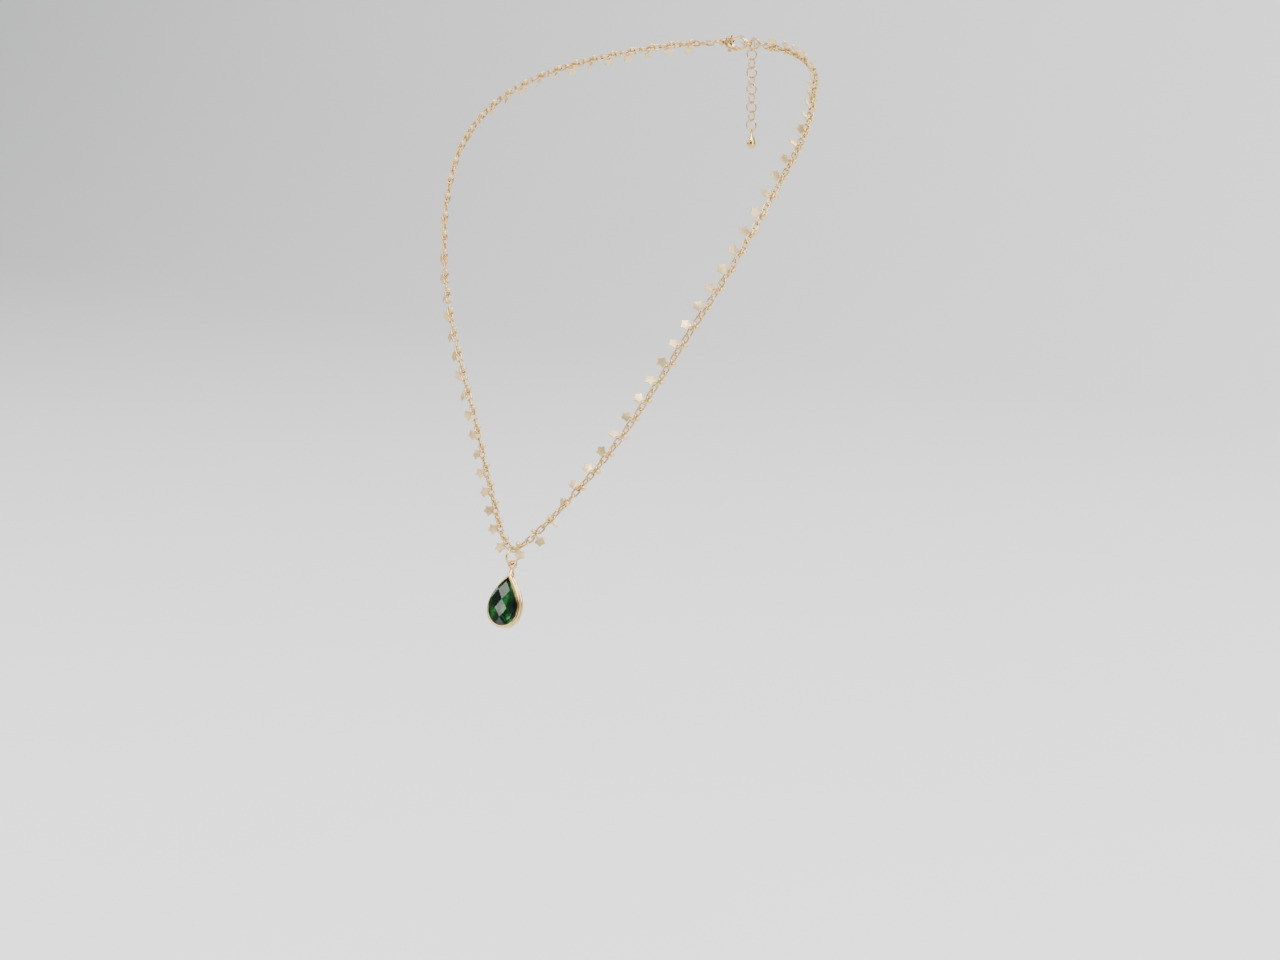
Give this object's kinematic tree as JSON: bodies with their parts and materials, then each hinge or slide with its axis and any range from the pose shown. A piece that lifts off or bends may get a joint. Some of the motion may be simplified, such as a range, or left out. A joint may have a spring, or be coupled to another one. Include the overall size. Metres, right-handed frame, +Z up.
{
  "type": "pendant necklace",
  "caption": "Fine cable-chain necklace with star-headed pins along it, a faceted green pear drop in a bezel on a jump ring, and a lobster clasp with an extender.",
  "frame": {"origin": "nape of the neck, at the middle of the clasp group, where the wearer's neck holds the necklace up", "axes": "+Z up, -Y towards the wearer's front, +X towards the wearer's left"},
  "size_m": [0.117, 0.1416, 0.1622],
  "materials": {
    "chain_gold": "polished gold plating",
    "star_gold": "satin gold plating",
    "bezel_gold": "polished gold plating",
    "green_glass": "faceted, clear emerald green",
    "stone_foil": "foil",
    "spring_steel": "plain"
  },
  "bodies": {
    "nape_chain": {"chain_right_nape_a": "chain_gold", "chain_left_nape_a": "chain_gold", "chain_right_nape_b": "chain_gold", "chain_left_nape_b": "chain_gold", "chain_right_nape_c": "chain_gold", "chain_left_nape_c": "chain_gold", "left_end_ring": "chain_gold", "right_end_ring": "chain_gold", "clasp_body": "bezel_gold", "clasp_rivet": "bezel_gold", "clasp_spring": "spring_steel", "extender_link_1": "chain_gold", "extender_link_2": "chain_gold"},
    "clasp_trigger": {"clasp_trigger": "bezel_gold"},
    "extender_upper": {"extender_tail_upper": "chain_gold"},
    "extender_lower": {"extender_tail_lower": "chain_gold", "extender_drop": "bezel_gold"},
    "upper_drape": {"chain_right_upper_a": "chain_gold", "chain_left_upper_a": "chain_gold", "chain_right_upper_b": "chain_gold", "chain_left_upper_b": "chain_gold"},
    "middle_drape": {"chain_right_middle_a": "chain_gold", "chain_left_middle_a": "chain_gold", "chain_right_middle_b": "chain_gold", "chain_left_middle_b": "chain_gold"},
    "lower_drape": {"chain_right_lower_a": "chain_gold", "chain_left_lower_a": "chain_gold", "chain_right_lower_b": "chain_gold", "chain_left_lower_b": "chain_gold", "chain_centre_link": "chain_gold"},
    "jump_ring": {"pendant_jump_ring": "bezel_gold"},
    "pendant": {"bail_loop": "bezel_gold", "bezel_wall": "bezel_gold", "bezel_back_plate": "bezel_gold", "stone_foil": "stone_foil", "pear_stone": "green_glass"},
    "star_pin_right_01": {"star_pin_right_01": "star_gold"},
    "star_pin_right_02": {"star_pin_right_02": "star_gold"},
    "star_pin_right_03": {"star_pin_right_03": "star_gold"},
    "star_pin_right_04": {"star_pin_right_04": "star_gold"},
    "star_pin_right_05": {"star_pin_right_05": "star_gold"},
    "star_pin_right_06": {"star_pin_right_06": "star_gold"},
    "star_pin_right_07": {"star_pin_right_07": "star_gold"},
    "star_pin_right_08": {"star_pin_right_08": "star_gold"},
    "star_pin_right_09": {"star_pin_right_09": "star_gold"},
    "star_pin_right_10": {"star_pin_right_10": "star_gold"},
    "star_pin_right_11": {"star_pin_right_11": "star_gold"},
    "star_pin_right_12": {"star_pin_right_12": "star_gold"},
    "star_pin_left_01": {"star_pin_left_01": "star_gold"},
    "star_pin_left_02": {"star_pin_left_02": "star_gold"},
    "star_pin_left_03": {"star_pin_left_03": "star_gold"},
    "star_pin_left_04": {"star_pin_left_04": "star_gold"},
    "star_pin_left_05": {"star_pin_left_05": "star_gold"},
    "star_pin_left_06": {"star_pin_left_06": "star_gold"},
    "star_pin_left_07": {"star_pin_left_07": "star_gold"},
    "star_pin_left_08": {"star_pin_left_08": "star_gold"},
    "star_pin_left_09": {"star_pin_left_09": "star_gold"},
    "star_pin_left_10": {"star_pin_left_10": "star_gold"},
    "star_pin_left_11": {"star_pin_left_11": "star_gold"},
    "star_pin_left_12": {"star_pin_left_12": "star_gold"}
  },
  "joints": [
    {"name": "chain_lift_upper", "type": "hinge", "parent": "nape_chain", "child": "upper_drape", "pos_m": [0, -0.06629, -0.02365], "axis": [-1, 0, 0], "range_deg": [0, 50]},
    {"name": "chain_lift_middle", "type": "hinge", "parent": "upper_drape", "child": "middle_drape", "pos_m": [0, -0.09614, -0.06319], "axis": [-1, 0, 0], "range_deg": [0, 30]},
    {"name": "chain_lift_lower", "type": "hinge", "parent": "middle_drape", "child": "lower_drape", "pos_m": [0, -0.11223, -0.10432], "axis": [-1, 0, 0], "range_deg": [0, 30]},
    {"name": "jump_ring_swing", "type": "hinge", "parent": "lower_drape", "child": "jump_ring", "pos_m": [0, -0.1306, -0.1378], "axis": [-0.9703, 0.2419, 0], "range_deg": [0, 25]},
    {"name": "pendant_sway", "type": "hinge", "parent": "jump_ring", "child": "pendant", "pos_m": [0, -0.1306, -0.1415], "axis": [0, -0.9455, 0.3256], "range_deg": [-35, 35]},
    {"name": "clasp_trigger_open", "type": "hinge", "parent": "nape_chain", "child": "clasp_trigger", "pos_m": [-0.0042, 0, 0.00075], "axis": [0, 1, 0], "range_deg": [0, 18], "stiffness_Nm_per_rad": 0.002, "springref_deg": -11.46},
    {"name": "extender_swing", "type": "hinge", "parent": "nape_chain", "child": "extender_upper", "pos_m": [0.00305, 0.00156, 0], "axis": [1, 0, 0], "range_deg": [0, 75]},
    {"name": "extender_sway", "type": "hinge", "parent": "extender_upper", "child": "extender_lower", "pos_m": [0.00305, 0.0019, -0.0138], "axis": [0, 1, 0], "range_deg": [-40, 40]},
    {"name": "star_spin_right_01", "type": "hinge", "parent": "lower_drape", "child": "star_pin_right_01", "pos_m": [0.0019, -0.13014, -0.13627], "axis": [0.4331, -0.3894, -0.8129], "continuous": true},
    {"name": "star_spin_right_02", "type": "hinge", "parent": "lower_drape", "child": "star_pin_right_02", "pos_m": [0.00622, -0.12764, -0.1323], "axis": [0.545, 0.1469, -0.8254], "continuous": true},
    {"name": "star_spin_right_03", "type": "hinge", "parent": "lower_drape", "child": "star_pin_right_03", "pos_m": [0.00979, -0.1248, -0.12779], "axis": [-0.1228, 0.7117, -0.6917], "continuous": true},
    {"name": "star_spin_right_04", "type": "hinge", "parent": "lower_drape", "child": "star_pin_right_04", "pos_m": [0.01322, -0.12198, -0.12315], "axis": [-0.841, 0.5249, -0.1316], "continuous": true},
    {"name": "star_spin_right_05", "type": "hinge", "parent": "lower_drape", "child": "star_pin_right_05", "pos_m": [0.01661, -0.11928, -0.11842], "axis": [-0.9752, -0.0047, 0.2215], "continuous": true},
    {"name": "star_spin_right_06", "type": "hinge", "parent": "lower_drape", "child": "star_pin_right_06", "pos_m": [0.01987, -0.11661, -0.11357], "axis": [-0.9585, -0.1355, 0.2509], "continuous": true},
    {"name": "star_spin_right_07", "type": "hinge", "parent": "lower_drape", "child": "star_pin_right_07", "pos_m": [0.02304, -0.1141, -0.10859], "axis": [-0.9544, -0.1734, 0.2428], "continuous": true},
    {"name": "star_spin_right_08", "type": "hinge", "parent": "middle_drape", "child": "star_pin_right_08", "pos_m": [0.02618, -0.11189, -0.10344], "axis": [-0.9515, -0.209, 0.2256], "continuous": true},
    {"name": "star_spin_right_09", "type": "hinge", "parent": "middle_drape", "child": "star_pin_right_09", "pos_m": [0.02925, -0.10999, -0.09813], "axis": [-0.9446, -0.2527, 0.2096], "continuous": true},
    {"name": "star_spin_right_10", "type": "hinge", "parent": "middle_drape", "child": "star_pin_right_10", "pos_m": [0.03225, -0.10819, -0.09275], "axis": [-0.931, -0.3012, 0.206], "continuous": true},
    {"name": "star_spin_right_11", "type": "hinge", "parent": "middle_drape", "child": "star_pin_right_11", "pos_m": [0.03517, -0.1063, -0.08736], "axis": [-0.9148, -0.3478, 0.2055], "continuous": true},
    {"name": "star_spin_right_12", "type": "hinge", "parent": "middle_drape", "child": "star_pin_right_12", "pos_m": [0.03805, -0.10444, -0.08192], "axis": [-0.8967, -0.395, 0.1999], "continuous": true},
    {"name": "star_spin_left_01", "type": "hinge", "parent": "lower_drape", "child": "star_pin_left_01", "pos_m": [-0.00351, -0.12941, -0.13509], "axis": [-0.428, -0.3991, -0.8109], "continuous": true},
    {"name": "star_spin_left_02", "type": "hinge", "parent": "lower_drape", "child": "star_pin_left_02", "pos_m": [-0.00744, -0.1267, -0.13082], "axis": [-0.5783, -0.3241, -0.7487], "continuous": true},
    {"name": "star_spin_left_03", "type": "hinge", "parent": "lower_drape", "child": "star_pin_left_03", "pos_m": [-0.01094, -0.12385, -0.12625], "axis": [-0.601, -0.2762, -0.75], "continuous": true},
    {"name": "star_spin_left_04", "type": "hinge", "parent": "lower_drape", "child": "star_pin_left_04", "pos_m": [-0.01436, -0.12108, -0.12158], "axis": [-0.5967, -0.2313, -0.7684], "continuous": true},
    {"name": "star_spin_left_05", "type": "hinge", "parent": "lower_drape", "child": "star_pin_left_05", "pos_m": [-0.01771, -0.11838, -0.11681], "axis": [-0.6116, -0.18, -0.7704], "continuous": true},
    {"name": "star_spin_left_06", "type": "hinge", "parent": "lower_drape", "child": "star_pin_left_06", "pos_m": [-0.02093, -0.11575, -0.11192], "axis": [-0.618, -0.123, -0.7765], "continuous": true},
    {"name": "star_spin_left_07", "type": "hinge", "parent": "lower_drape", "child": "star_pin_left_07", "pos_m": [-0.02409, -0.11332, -0.10689], "axis": [-0.6178, -0.0585, -0.7841], "continuous": true},
    {"name": "star_spin_left_08", "type": "hinge", "parent": "middle_drape", "child": "star_pin_left_08", "pos_m": [-0.02721, -0.11123, -0.10168], "axis": [-0.6216, 0.0177, -0.7831], "continuous": true},
    {"name": "star_spin_left_09", "type": "hinge", "parent": "middle_drape", "child": "star_pin_left_09", "pos_m": [-0.03026, -0.10939, -0.09634], "axis": [-0.6205, 0.0778, -0.7804], "continuous": true},
    {"name": "star_spin_left_10", "type": "hinge", "parent": "middle_drape", "child": "star_pin_left_10", "pos_m": [-0.03323, -0.10757, -0.09095], "axis": [-0.612, 0.1161, -0.7823], "continuous": true},
    {"name": "star_spin_left_11", "type": "hinge", "parent": "middle_drape", "child": "star_pin_left_11", "pos_m": [-0.03614, -0.10568, -0.08555], "axis": [-0.6021, 0.1655, -0.781], "continuous": true},
    {"name": "star_spin_left_12", "type": "hinge", "parent": "middle_drape", "child": "star_pin_left_12", "pos_m": [-0.03898, -0.1038, -0.08011], "axis": [-0.5912, 0.2044, -0.7802], "continuous": true}
  ]
}
